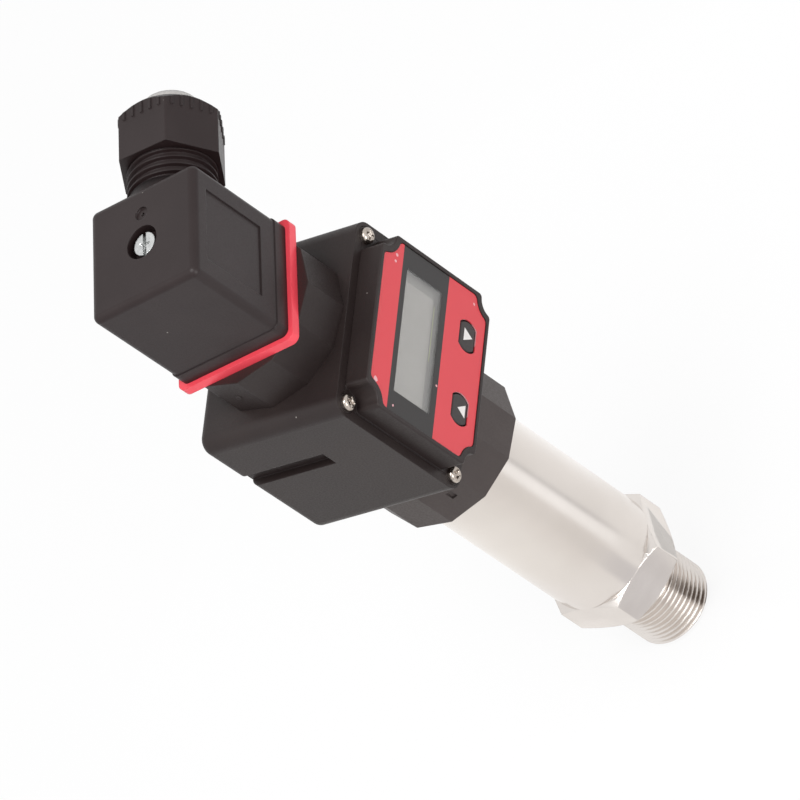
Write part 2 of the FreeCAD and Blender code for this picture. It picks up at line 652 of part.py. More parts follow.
# ---------------------------------------------------------------- display: label, window, glass, board, switches
def display():
    label = cover_outline("label_sheet", "bezel_width - 2 * label_inset - 2 * label_gap",
                          "bezel_tall - 2 * label_inset - 2 * label_gap", "label_notch + label_gap",
                          "skin_front + label_thick", "skin_front", "label_round")
    window = box("label_window", "-window_width / 2", "window_width / 2", "-cover_front - 1",
                 "1 - skin_front",
                 "window_z - window_tall / 2", "window_z + window_tall / 2")
    holes = [button_shape("label_hole%d" % i, "button_dia + 3 * fit_gap", "button_flats + 3 * fit_gap",
                          "cover_front + 1", "skin_front - 1", side) for i, side in enumerate((-1, 1))]
    node("front_label", cut("label_solid", label, window, *holes))
    pane = box("pane", "-window_width / 2", "window_width / 2", "-skin_front - label_thick", "-skin_front",
               "window_z - window_tall / 2", "window_z + window_tall / 2")
    node("display_window", pane)

    face = "skin_front + label_thick - glass_depth"
    glass_half = "window_width / 2 + glass_lip"
    glass = box("glass", "-(%s)" % glass_half, glass_half, "-(%s)" % face, "-skin_back",
                "window_z - window_tall / 2 - glass_lip", "window_z + window_tall / 2 + glass_lip")
    carrier = box("glass_carrier", "-lcd_width / 2", "lcd_width / 2", "-skin_back", "-board_front",
                  "window_z - lcd_tall / 2", "window_z + lcd_tall / 2 - 1")
    node("lcd_module", fuse("lcd_solid", glass, carrier))

    board = box("board_plate", "-board_half", "board_half", "-board_front", "board_thick - board_front",
                "board_low", "board_low + board_tall")
    corner_cuts = [rod("board_cut%d" % i, "notch_radius + bezel_wall + fit_gap", "-cover_front", "0", "Y",
                       x="%d * screw_x" % sx, z="screw_mid + %d * screw_z" % sz)
                   for i, (sx, sz) in enumerate(corners())]
    header = box("board_header", "-6", "6", "board_thick - board_front", "board_thick + 3 - board_front",
                 "bezel_mid - 2.5", "bezel_mid + 2.5")
    driver = box("driver_chip", "-5", "5", "board_thick - board_front", "board_thick + 1.5 - board_front",
                 "bezel_mid + 5", "bezel_mid + 12")
    node("display_board", fuse("board_solid", cut("board_trimmed", board, *corner_cuts), header, driver))

    bases, domes = [], []
    for side in (-1, 1):
        at = "%d * button_x" % side
        word = "down" if side > 0 else "up"
        base = box("switch%d" % side if side > 0 else "switch_up", "%s - switch_side / 2" % at,
                   "%s + switch_side / 2" % at, "-board_front - switch_height", "-board_front",
                   "button_z - switch_side / 2", "button_z + switch_side / 2")
        bore = rod("switch_bore_" + word, "plunger_dia / 2 + 0.05", "-board_front - switch_height - 1",
                   "-board_front - 0.4", "Y", x=at, z="button_z")
        bases.append(cut("switch_" + word, base, bore))
        cap = button_shape("cap_" + word, "button_dia", "button_flats", "skin_front + label_thick - 0.05",
                           "skin_back - 0.05", side)
        lip = button_shape("lip_" + word, "button_flange", "button_flats + 2", "skin_back - 0.05",
                           "skin_back - 0.05 - button_lip", side)
        edge = value("skin_front") + value("label_thick") - 0.05
        cap = soften("soft_cap_" + word, cap, 0.35, lambda e: lies_at(e, Y, -edge))
        node("button_" + word, fuse("button_solid_" + word, cap, lip))
        stem = rod("stem_" + word, "plunger_dia / 2", "button_lip + 0.05 - skin_back",
                   "-board_front - 0.4 - 1.6 * button_travel", "Y", x=at, z="button_z")
        node("switch_plunger_" + word, stem)
    node("tact_switches", group("switch_pair", *bases))


# ---------------------------------------------------------------- connector: gasket, socket, contacts
def socket():
    sheet = square("gasket_sheet", "gasket_side", "collar_top", "flange_low")
    sheet = soften("gasket_round", sheet, value("plug_round"), lambda e: runs_along(e, Z))
    middle = square("gasket_hole", "socket_side + 4 * label_gap", "collar_top - 1", "flange_low + 1")
    node("flange_gasket", place(cut("gasket_solid", sheet, middle), turn="plug_turn"))

    socket_low = "collar_top - socket_sunk"
    blades, slits = [], []
    for i, (dx, dy) in enumerate(contact_places()):
        blades.append(flat_blade("blade%d" % i, dx, dy, "0", socket_low, "blade_top"))
        slits.append(flat_blade("blade_slit%d" % i, dx, dy, "0", socket_low + " - 1", "blade_top"))
    base = square("socket_low", "socket_base_side - 2 * label_gap", socket_low, "collar_top")
    raised = square("socket_raised", "socket_side", "collar_top - 0.5", "flange_low + socket_rise")
    nut_hole = rod("socket_nut_hole", "insert_nut_dia / 2", socket_low + " - 1", "flange_low + 5")
    body = cut("socket_solid", fuse("socket_body", base, raised), nut_hole, *slits)
    node("socket_base", place(body, turn="plug_turn"))
    insert = turned("socket_insert", [
        ("plug_screw_dia / 2", socket_low), ("insert_nut_dia / 2", socket_low),
        ("insert_nut_dia / 2", "flange_low + socket_rise"), ("plug_screw_dia / 2",
                                                             "flange_low + socket_rise")])
    node("socket_insert_nut", insert)

    tag_low = socket_low + " - blade_thick"
    edge = "blade_at + blade_thick / 2"
    reach = "wire_spread + 1.4 * wire_dia"
    back_tag = box("back_tag", "-wire_dia", "wire_dia", "wire_row - wire_dia", edge, tag_low, socket_low)
    side_tag = box("side_tag", "-(%s)" % edge, "-wire_spread + wire_dia", "wire_row - wire_dia",
                   "wire_row + wire_dia",
                   tag_low, socket_low)
    side_foot = box("side_foot", "-(%s)" % edge, "-blade_at + blade_thick / 2", "-wire_dia",
                    "wire_row + wire_dia",
                    tag_low, socket_low)
    front_tag = box("front_tag", "wire_spread - wire_dia", reach, "-(%s)" % edge, "wire_row + wire_dia",
                    tag_low,
                    socket_low)
    front_foot = box("front_foot", "-blade_width / 2", reach, "-(%s)" % edge, "blade_thick / 2 - blade_at",
                     tag_low,
                     socket_low)
    soldered = [fuse("blade_back", blades[0], back_tag), fuse("blade_front", blades[1], front_tag,
                                                              front_foot),
                fuse("blade_side", blades[2], side_tag, side_foot)]
    node("socket_blades", with_plug("blade_set", *soldered))
    node("earth_blade", with_plug("earth_blade_turned", blades[3]))


def flat_blade(name, dx, dy, gap, z0, z1):
    """A flat blade (or, with a gap, the slit for it) square to the direction (dx, dy) from the axis."""
    wide, thin = ("blade_thick / 2 + " + gap, "blade_width / 2 + " + gap)
    if dy:
        wide, thin = thin, wide
    x, y = "%d * blade_at" % dx, "%d * blade_at" % dy
    return box(name, "%s - (%s)" % (x, wide), "%s + %s" % (x, wide), "%s - (%s)" % (y, thin),
               "%s + %s" % (y, thin), z0, z1)


def contact_places():
    """The three current blades and, last, the earth blade on the gland's side."""
    return [(0, 1), (0, -1), (-1, 0), (1, 0)]


def plug_insert():
    """Terminal block in the connector: four sprung contacts over the blades, each with a clamp screw."""
    block = square("insert_block", "insert_side - 2 * fit_gap", "flange_low + socket_rise + fit_gap",
                   "insert_top")
    block = soften("insert_round", block, 1.0, lambda e: runs_along(e, Z))
    tools, contacts, clamps = [], [], []
    low = "flange_low + socket_rise + fit_gap"
    for i, (dx, dy) in enumerate(contact_places()):
        half_x, half_y = "contact_side / 2", "(blade_width / 2 + 0.6)"
        if dy:
            half_x, half_y = half_y, half_x
        x, y = "%d * blade_at" % dx, "%d * blade_at" % dy
        pocket = box("pocket%d" % i, "%s - %s - 0.1" % (x, half_x), "%s + %s + 0.1" % (x, half_x),
                     "%s - %s - 0.1" % (y, half_y), "%s + %s + 0.1" % (y,
                                                                       half_y), low + " - 1",
                                                                       "insert_top - 1.5")
        tools.append(pocket)
        block_i = box("contact_block%d" % i, "%s - %s" % (x, half_x), "%s + %s" % (x, half_x),
                      "%s - %s" % (y, half_y),
                      "%s + %s" % (y, half_y), "insert_top - 1.5 - 2 * contact_height", "insert_top - 1.5")
        slit = flat_blade("contact_slit%d" % i, dx, dy, "gland_fit", "flange_low", "blade_top + 0.5")
        contacts.append(cut("contact%d" % i, block_i, slit))
        clamp_hole = rod("clamp_hole%d" % i, "plug_screw_dia / 2 + 0.1", "insert_top - 2", "insert_top + 1",
                         x=x, y=y)
        tools.append(clamp_hole)
        clamp = rod("clamp%d" % i, "plug_screw_dia / 2", "insert_top - 1.5", "insert_top + 1", x=x, y=y)
        driver = box("clamp_slot%d" % i, "%s - 2" % x, "%s + 2" % x, "%s - 0.3" % y, "%s + 0.3" % y,
                     "insert_top + 0.4",
                     "insert_top + 2")
        clamps.append(cut("clamp_screw%d" % i, clamp, driver))
    centre = rod("insert_centre", "plug_screw_dia / 2 + fit_gap", "flange_low", "insert_top + 1")
    node("plug_insert", place(cut("insert_solid", block, centre, *tools), turn="plug_turn"))
    node("plug_contacts", with_plug("contact_set", *contacts))
    node("terminal_screws", with_plug("clamp_set", *clamps))


# ---------------------------------------------------------------- connector housing, its screw and the gland
def plug_housing():
    """Square cap with softened edges, a base flange, the screw well in its roof and the gland's threaded neck."""
    cap = square("plug_cap", "plug_side", "seam", "plug_top")
    top = value("plug_top")
    cap = soften("plug_cap_sides", cap, value("plug_round"), lambda e: runs_along(e, Z))
    cap = soften("plug_cap_soft", cap, value("plug_round"), lambda e: lies_at(e, Z, top))

    flange = square("plug_flange_block", "plug_flange", "flange_low", "seam")
    flange = soften("plug_flange_round", flange, value("plug_round"), lambda e: runs_along(e, Z))
    neck = rod("gland_neck", "gland_thread / 2", "plug_side / 2 - 2", "gland_neck_end", "X", z="gland_z")
    hollow = square("plug_hollow", "plug_side - 2 * plug_wall", "flange_low - 1", "plug_top - plug_roof")
    bore = rod("gland_bore_cut", "gland_bore / 2", "0", "gland_neck_end + 1", "X", z="gland_z")
    well = rod("screw_well_cut", "screw_well / 2", "plug_top - well_depth", "plug_top + 1")
    hole = rod("screw_hole", "plug_screw_dia / 2 + fit_gap", "flange_low", "plug_top")
    dimple = rod("dimple", "dimple_dia / 2", "plug_top - dimple_depth", "plug_top + 1", x="dimple_at")
    front = "plug_side / 2"
    panel = box("front_panel", "-panel_x_low", "panel_x_high", "-%s - 1" % front,
                "panel_depth - %s" % front, "panel_low", "panel_low + panel_tall")
    body = fuse("plug_body", cap, flange, neck)
    node("plug_housing", place(cut("plug_solid", body, hollow, bore, well, hole, dimple, panel),
                               turn="plug_turn"))

    floor = "plug_top - well_depth"
    head = rod("plug_screw_cap", "plug_screw_head / 2", floor, floor + " + plug_screw_head_height")
    shank = rod("plug_screw_shank", "plug_screw_dia / 2", "collar_top - socket_sunk + 0.5", floor)
    slot = box("plug_screw_slot", "-plug_screw_head", "plug_screw_head", "-0.4", "0.4",
               floor + " + plug_screw_head_height / 2", floor + " + plug_screw_head_height + 1")
    node("plug_screw", place(cut("plug_screw_solid", fuse("plug_screw_blank", head, shank), slot),
                             turn="plug_turn"))


def gland():
    """Cable gland: rubber seal in the neck, slip washer with the dust plug, and the hexagon nut with its ribs."""
    def on_gland(name, outline):
        return place(turned(name, outline, "X"), z="gland_z", turn="plug_turn")
    node("gland_seal", on_gland("gland_seal_turned", [
        ("gland_bore / 2 - 2.2", "plug_side / 2"), ("gland_bore / 2 - gland_fit", "plug_side / 2"),
        ("gland_bore / 2 - gland_fit", "gland_neck_end"), ("gland_thread / 2 - 1", "gland_neck_end"),
        ("gland_thread / 2 - 1", "gland_shoulder - gland_washer_thick - gland_fit"),
        ("gland_bore / 2 - 2.2", "gland_shoulder - gland_washer_thick - gland_fit")]))
    node("gland_washer", on_gland("gland_washer_turned", [
        ("gland_mouth / 4", "gland_shoulder - gland_washer_thick"),
        ("gland_thread / 2", "gland_shoulder - gland_washer_thick"),
        ("gland_thread / 2", "gland_shoulder - 0.05"), ("gland_mouth / 4", "gland_shoulder - 0.05")]))
    dome = "gland_nut_end + gland_dome"
    node("gland_dust_plug", on_gland("dust_plug_turned", [
        ("0", "gland_shoulder - 0.05"), ("gland_mouth / 2 - gland_fit", "gland_shoulder - 0.05"),
        ("gland_mouth / 2 - gland_fit", dome + " - 1.6"), ("gland_mouth / 2 - 0.7", dome + " - 0.6"),
        ("gland_mouth / 3", dome), ("0", dome)]))

    corner = "gland_nut_flats / 2 / cos(30)"
    cone = "gland_nut_end - (%s - gland_nut_flats / 2 + 0.4)" % corner
    blank = turned("gland_nut_turned", [
        ("gland_thread / 2 + 0.05", "gland_nut_start"), (corner, "gland_nut_start"), (corner, cone),
        ("gland_nut_flats / 2 - 0.4", "gland_nut_end"), ("gland_mouth / 2", "gland_nut_end"),
        ("gland_mouth / 2", "gland_shoulder"), ("gland_thread / 2 + 0.05", "gland_shoulder")], "X")
    sides = prism("gland_nut_prism", 6, "gland_nut_flats", "gland_nut_start", "gland_nut_end",
                  "90 + gland_nut_turn")
    sides = soften("gland_nut_sides", sides, value("nut_edge_round"), lambda e: runs_along(e, Z))
    row = [box("rib%d" % i, "gland_nut_flats / 2 - 0.5", "gland_nut_flats / 2 + rib_height",
               "%d * rib_pitch - rib_width / 2" % t, "%d * rib_pitch + rib_width / 2" % t,
               "gland_nut_end - rib_length", "gland_nut_end") for i, t in enumerate(range(-2, 3))]
    ribs = [place(group("rib_row%d" % k, *row),
                  turn="120 + gland_nut_turn + %d" % (60 * k)) for k in range(6)]
    grip = fuse("gland_nut_grip", sides, *ribs)
    grip.Placement = FreeCAD.Placement(Vector(), ALONG["X"])
    nut = common("gland_nut_solid", blank, grip)
    node("gland_nut", place(nut, z="gland_z", turn="plug_turn"))


# ---------------------------------------------------------------- wires inside
def bent_wire(name, x, y, z_end, z_turn, y_end):
    """A wire that comes along the axis, turns through one arc and runs forward to the display board."""
    radius = 4
    up = 1 if value(z_end) < value(z_turn) else -1
    a = Vector(x, y, value(z_end))
    b = Vector(x, y, value(z_turn) - up * radius)
    mid = Vector(x, y - radius * (1 - math.cos(math.pi / 4)),
                 value(z_turn) - up * radius * (1 - math.sin(math.pi / 4)))
    c = Vector(x, y - radius, value(z_turn))
    d = Vector(x, value(y_end), value(z_turn))
    path = Part.Wire([Part.LineSegment(a, b).toShape(), Part.Arc(b, mid, c).toShape(),
                      Part.LineSegment(c, d).toShape()])
    section = Part.Wire([Part.makeCircle(value("wire_dia") / 2, a, Vector(0, 0, up))])
    wire = doc.addObject("Part::Feature", name)
    wire.Shape = path.makePipeShell([section], True, False)
    return wire


def wires():
    pitch = value("wire_dia") + 0.6
    on_board = value("board_thick") / 2 + value("wire_dia") / 2
    lower = [bent_wire("lower_wire%d" % i, (i - 1) * pitch, on_board, "lower_wire_low", "lower_turn",
                       "header_back")
             for i in range(3)]
    spread, row = value("wire_spread"), value("wire_row")
    upper = [bent_wire("upper_wire%d" % i, (i - 1) * spread, row, "upper_wire_top", "upper_turn",
                       "header_back")
             for i in range(3)]
    node("lower_wires", group("lower_loom", *lower))
    node("upper_wires", group("upper_loom", *upper))


# ---------------------------------------------------------------- build, check and write
process_fitting()
tube()
sensor()
collars()
display_housing()
cover()
display()
socket()
plug_insert()
plug_housing()
gland()
wires()
sizes.clear("H1")
doc.recompute()

failed = [o.Name for o in doc.Objects if "Invalid" in o.State or "Error" in o.State]
if failed:
    raise RuntimeError("objects that did not build: %s" % ", ".join(failed))
for piece in nodes:
    if piece.Shape.isNull() or not piece.Shape.isValid() or not piece.Shape.Solids:
        raise RuntimeError("no valid solid in " + piece.Label)
os.makedirs("parts", exist_ok=True)
for piece in nodes:
    piece.Shape.exportStep(os.path.join("parts", piece.Label + ".step"))
print("%d nodes written" % len(nodes))
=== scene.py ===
import math

import bpy
from mathutils import Matrix, Vector


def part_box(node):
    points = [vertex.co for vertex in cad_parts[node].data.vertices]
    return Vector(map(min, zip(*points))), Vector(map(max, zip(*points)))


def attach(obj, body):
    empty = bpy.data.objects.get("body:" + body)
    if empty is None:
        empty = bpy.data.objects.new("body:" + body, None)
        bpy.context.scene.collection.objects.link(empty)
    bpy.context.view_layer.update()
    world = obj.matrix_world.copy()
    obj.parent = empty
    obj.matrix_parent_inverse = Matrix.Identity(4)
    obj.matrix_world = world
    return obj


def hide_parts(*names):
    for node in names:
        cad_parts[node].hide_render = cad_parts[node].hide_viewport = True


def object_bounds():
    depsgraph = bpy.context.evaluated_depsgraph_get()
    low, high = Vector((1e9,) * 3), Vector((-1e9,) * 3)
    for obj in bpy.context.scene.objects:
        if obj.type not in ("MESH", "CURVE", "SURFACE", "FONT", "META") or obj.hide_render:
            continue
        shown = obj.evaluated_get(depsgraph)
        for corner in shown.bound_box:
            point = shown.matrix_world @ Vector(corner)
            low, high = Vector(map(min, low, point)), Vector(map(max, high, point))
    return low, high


# Pressure transmitter: stainless fitting and tube, black display head with a red label and two buttons, and a
# square connector with a cable gland. Everything is in metres, +Z along the axis, with the display facing -Y.
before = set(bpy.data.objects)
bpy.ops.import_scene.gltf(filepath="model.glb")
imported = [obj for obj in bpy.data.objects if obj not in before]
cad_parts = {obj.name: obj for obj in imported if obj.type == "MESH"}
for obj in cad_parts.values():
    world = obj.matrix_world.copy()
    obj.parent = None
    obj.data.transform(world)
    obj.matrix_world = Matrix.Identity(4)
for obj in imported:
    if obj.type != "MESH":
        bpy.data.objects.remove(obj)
cad_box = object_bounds()

# ---------------------------------------------------------------- studio
# A long lens looks down on the display from the left, rolled so that the axis lies across the view. The floor
# and the surroundings are white, with broad soft lamps, and the floor keeps the transmitter's shadow.
lens_aim = Vector((0.0045, 0.0007, 0.0789))
lens_azimuth, lens_elevation, lens_roll = math.radians(-128.81), math.radians(41.41), math.radians(-55.65)
lens_distance = 1.462
to_lens = Vector((math.cos(lens_elevation) * math.cos(lens_azimuth),
                  math.cos(lens_elevation) * math.sin(lens_azimuth), math.sin(lens_elevation)))
lens = bpy.data.cameras.new("studio_lens")
lens.lens = 312.7
lens.clip_end = 10
camera = bpy.data.objects.new("studio_camera", lens)
bpy.context.collection.objects.link(camera)
camera.matrix_world = (Matrix.Translation(lens_aim + to_lens * lens_distance)
                       @ to_lens.to_track_quat("Z", "Y").to_matrix().to_4x4()
                       @ Matrix.Rotation(lens_roll, 4, "Z"))
bpy.context.scene.camera = camera
bpy.context.scene.view_settings.view_transform = "Standard"


def soft_lamp(name, place, aim, side, watts):
    lamp = bpy.data.lights.new(name, "AREA")
    lamp.shape = "DISK"
    lamp.size = side
    lamp.energy = watts
    holder = bpy.data.objects.new(name, lamp)
    bpy.context.collection.objects.link(holder)
    holder.location = place
    holder.rotation_euler = (Vector(place) - Vector(aim)).to_track_quat("Z", "Y").to_euler()


soft_lamp("overhead_lamp", (-0.2, -0.1, 1.0), (0, 0, 0.08), 0.5, 4.6)
soft_lamp("display_lamp", (-0.5, -0.9, 0.45), (0, 0, 0.08), 0.6, 3.8)


class Wire:
    """A socket of a material that can be used in sums; each sum on it adds a Math node."""

    def __init__(self, socket):
        self.socket = socket
        self.tree = socket.id_data

    def node(self, kind, settings=None, inputs=None, out=0):
        """Adds a node: its settings, then the values or wires of its sockets; gives back one of its outputs."""
        made = self.tree.nodes.new(kind)
        for key, setting in (settings or {}).items():
            if key == "stops":
                ramp = made.color_ramp.elements
                while len(ramp) < len(setting):
                    ramp.new(0.5)
                for stop, (position, colour) in zip(ramp, setting):
                    stop.position = position
                    stop.color = (*colour, 1)
            else:
                setattr(made, key, setting)
        for key, given in (inputs or {}).items():
            if isinstance(given, Wire):
                self.tree.links.new(given.socket, made.inputs[key])
            else:
                made.inputs[key].default_value = given
        return Wire(made.outputs[out])

    def maths(self, operation, *others):
        """A Math node on this wire, then on the other terms in their order."""
        return self.node("ShaderNodeMath", {"operation": operation}, dict(enumerate((self, *others))))

    def __add__(self, other):
        return self.maths("ADD", other)

    def __sub__(self, other):
        return self.maths("SUBTRACT", other)

    def __rsub__(self, other):
        return self.node("ShaderNodeMath", {"operation": "SUBTRACT"}, {0: other, 1: self})

    def __mul__(self, other):
        return self.maths("MULTIPLY", other)

    def __truediv__(self, other):
        return self.maths("DIVIDE", other)

    def __lt__(self, other):
        return self.maths("LESS_THAN", other)

    def __gt__(self, other):
        return self.maths("GREATER_THAN", other)

    def __or__(self, other):
        """Whichever of two masks is set."""
        return self.maths("MAXIMUM", other)

    def axes(self):
        parts = self.tree.nodes.new("ShaderNodeSeparateXYZ")
        self.tree.links.new(self.socket, parts.inputs[0])
        return [Wire(out) for out in parts.outputs]

    def noise(self, scale, detail=2.0, roughness=0.5):
        return self.node("ShaderNodeTexNoise", None,
                         {"Vector": self, "Scale": scale, "Detail": detail, "Roughness": roughness})

    def stretched(self, *scale):
        """These coordinates with a scale of their own along each axis."""
        return self.node("ShaderNodeMapping", None, {"Vector": self, "Scale": scale})

    def rounded(self, radius):
        """A normal that shades the edges as if rounded."""
        return self.node("ShaderNodeBevel", {"samples": 4}, {"Radius": radius})

    def spread(self, low, high, new_low=0.0, new_high=1.0):
        """Maps low..high to new_low..new_high with soft ends."""
        return self.node("ShaderNodeMapRange", {"interpolation_type": "SMOOTHSTEP"},
                         {0: self, 1: low, 2: high, 3: new_low, 4: new_high})

    def tint(self, off, on):
        """A colour between two colours, with this wire as the share of the second."""
        return self.node("ShaderNodeMix", {"data_type": "RGBA"},
                         {0: self, 6: off if isinstance(off, Wire) else (*off, 1),
                          7: on if isinstance(on, Wire) else (*on, 1)}, 2)

    def bump(self, height, strength, over=None):
        """A normal with this wire as its relief, on a plain surface or over another normal."""
        inputs = {"Height": self, "Distance": height, "Strength": strength}
        if over is not None:
            inputs["Normal"] = over
        return self.node("ShaderNodeBump", None, inputs)


def finish(name, **constants):
    """A new material, its shader and its object coordinates. Constants are the shader's own sockets."""
    material = bpy.data.materials.new(name)
    material.use_nodes = True
    tree = material.node_tree
    shader = tree.nodes["Principled BSDF"]
    for key, given in constants.items():
        socket = shader.inputs[key.replace("_", " ")]
        socket.default_value = (*given, 1) if isinstance(given, tuple) else given
    place = Wire(tree.nodes.new("ShaderNodeTexCoord").outputs["Object"])
    return material, shader, place


def feed(shader, **wires):
    """Joins wires to the shader's sockets."""
    for key, wire in wires.items():
        shader.id_data.links.new(wire.socket, shader.inputs[key.replace("_", " ")])


def dress(material, *nodes):
    """Gives the CAD nodes named, or the new pieces, this material."""
    for item in nodes:
        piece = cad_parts[item] if isinstance(item, str) else item
        piece.data.materials.clear()
        piece.data.materials.append(material)


bpy.ops.object.select_all(action="DESELECT")
ground = cad_box[0][2]
bpy.ops.mesh.primitive_plane_add(size=8, location=(0, 0, ground))
floor = bpy.context.object
floor.name = "studio_floor"
bpy.ops.object.transform_apply(location=True)
white, white_shader, _ = finish("studio_white", Base_Color=(0.9, 0.9, 0.9), Roughness=0.9)
tree = white.node_tree
ray = tree.nodes.new("ShaderNodeLightPath")
plain_white = tree.nodes.new("ShaderNodeEmission")
plain_white.inputs["Color"].default_value = (1, 1, 1, 1)
seen = Wire(ray.outputs["Is Camera Ray"]) * 0.86
blend = tree.nodes.new("ShaderNodeMixShader")
tree.links.new(seen.socket, blend.inputs[0])
tree.links.new(white_shader.outputs[0], blend.inputs[1])
tree.links.new(plain_white.outputs[0], blend.inputs[2])
tree.links.new(blend.outputs[0], tree.nodes["Material Output"].inputs[0])
floor.data.materials.append(white)

# A glowing card lies on the floor round the transmitter, and only its glossy surfaces see it: it paints the
# reflections in the steel. Its darker sectors are painted dark reflections that give the steel its bands: a brown
# one for the thread, a grey one for the hexagon and wider ones for the tube, and a pale stripe among them is a
# painted highlight.
thread_reach, hexagon_reach = 0.029, 0.050
card_radius = 0.16
bpy.ops.mesh.primitive_circle_add(vertices=96, radius=card_radius, fill_type="NGON",
                                  location=(0, 0, ground + 0.0005))
card = bpy.context.object
card.name = "painted_reflection_card"
bpy.ops.object.transform_apply(location=True)
for sight in ("visible_camera", "visible_diffuse", "visible_shadow", "visible_transmission"):
    setattr(card, sight, False)
grey, shader, place = finish("painted_reflection_glow", Roughness=1.0, Specular_IOR_Level=0.0, Base_Color=(0.0, 0.0, 0.0),
                             Emission_Strength=1.25)
x, y, _ = place.axes()
out = (x * x + y * y).maths("SQRT")
bearing = y.maths("ARCTAN2", x) * (180 / math.pi)
past_thread = out.spread(thread_reach - 0.002, thread_reach + 0.002)
past_hexagon = out.spread(hexagon_reach, hexagon_reach + 0.006)
near = 1 - past_thread
middle = past_thread * (1 - past_hexagon)
# Painted dark reflection for the thread, and a painted grey reflection for the hexagon.
brown_painted_reflection = (1 - out.spread(0.032, 0.040)) * bearing.spread(-107, -101) * (1 - bearing.spread(-76, -68))
grey_painted_reflection = middle * bearing.spread(-150, -140) * (1 - bearing.spread(-118, -110))
far = 1 - near - middle
# Painted reflection bands round the tube, with a painted highlight stripe at 0.215 to 0.25.
painted_reflection_bands = far.node("ShaderNodeValToRGB", {"stops": (
    (0.0, (0.80, 0.79, 0.77)), (0.08, (0.75, 0.73, 0.71)), (0.14, (0.70, 0.68, 0.66)),
    (0.19, (0.72, 0.70, 0.68)), (0.215, (0.95, 0.95, 0.95)), (0.25, (0.95, 0.95, 0.95)),
    (0.27, (0.56, 0.55, 0.55)), (0.29, (0.76, 0.75, 0.74)), (0.40, (0.82, 0.81, 0.8)),
    (0.5, (0.9, 0.9, 0.9)), (0.85, (0.84, 0.83, 0.81)), (1.0, (0.80, 0.79, 0.77)))},
                  {0: bearing / 360 + 0.5})
plain = far.tint((0.82, 0.81, 0.80), painted_reflection_bands)
shade = brown_painted_reflection.tint(grey_painted_reflection.tint(plain, (0.62, 0.61, 0.62)), (0.07, 0.045, 0.03))
feed(shader, Emission_Color=shade)
card.data.materials.append(grey)

world = bpy.data.worlds.new("studio_surroundings")
bpy.context.scene.world = world
world.use_nodes = True
sky = world.node_tree
path = sky.nodes.new("ShaderNodeLightPath")
background = sky.nodes["Background"]
seen = (Wire(path.outputs["Is Camera Ray"]) + Wire(path.outputs["Is Transmission Ray"])
        + Wire(path.outputs["Is Glossy Ray"]))
shade = seen.spread(0, 1).tint((0.62, 0.62, 0.63), (1, 1, 1))
sky.links.new(shade.socket, background.inputs["Color"])

# ---------------------------------------------------------------- process fitting
# Turned from stainless hexagon bar: a rolled M20 x 1.5 thread with a relief, a chamfered 27 mm hexagon, and a
# bore for the medium. The thread is a true helix, run out by a chamfer at both ends.
thread_pitch = 0.0015
thread_crest, thread_root = 0.010, 0.00908
thread_top, thread_end = -0.0025, -0.018
thread_chamfer = 0.0012
port_clear = 0.003


def added(name):
    """Names the primitive that was just added."""
    piece = bpy.context.object
    piece.name = piece.data.name = name
    return piece


def loose_copy(node, name):
    """A copy of a CAD node with its corners joined and its flat faces whole, ready for shaping."""
    bpy.ops.object.select_all(action="DESELECT")
    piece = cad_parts[node].copy()
    piece.data = piece.data.copy()
    piece.parent = None
    piece.name = piece.data.name = name
    bpy.context.collection.objects.link(piece)
    piece.select_set(True)
    bpy.context.view_layer.objects.active = piece
    bpy.ops.object.mode_set(mode="EDIT")
    bpy.ops.mesh.select_all(action="SELECT")
    bpy.ops.mesh.remove_doubles(threshold=0.0000001)
    bpy.ops.mesh.dissolve_limited(angle_limit=0.001)
    bpy.ops.object.mode_set(mode="OBJECT")
    return piece


def pick(piece, kind, test):
    """Selects the edges or faces whose corners pass the test, and leaves the piece open for shaping."""
    bpy.ops.object.mode_set(mode="EDIT")
    bpy.ops.mesh.select_mode(type=kind)
    bpy.ops.mesh.select_all(action="DESELECT")
    bpy.ops.object.mode_set(mode="OBJECT")
    for part in piece.data.edges if kind == "EDGE" else piece.data.polygons:
        part.select = test([piece.data.vertices[i].co for i in part.vertices])
    bpy.ops.object.mode_set(mode="EDIT")


def change(piece, kind, **settings):
    """Adds a modifier, sets it and applies it."""
    bpy.context.view_layer.objects.active = piece
    modifier = piece.modifiers.new(kind.lower(), kind)
    for key, setting in settings.items():
        setattr(modifier, key, setting)
    bpy.ops.object.modifier_apply(modifier=modifier.name)


def carve(piece, tool, operation="DIFFERENCE"):
    """Cuts a piece with another one, or joins them, and does away with the tool."""
    change(piece, "BOOLEAN", object=tool, operation=operation, solver="EXACT")
    bpy.data.objects.remove(tool)


def smooth(piece, degrees):
    """Shades a finished piece smooth, apart from the edges sharper than an angle."""
    bpy.ops.object.select_all(action="DESELECT")
    piece.select_set(True)
    bpy.context.view_layer.objects.active = piece
    bpy.ops.object.shade_smooth_by_angle(angle=math.radians(degrees))


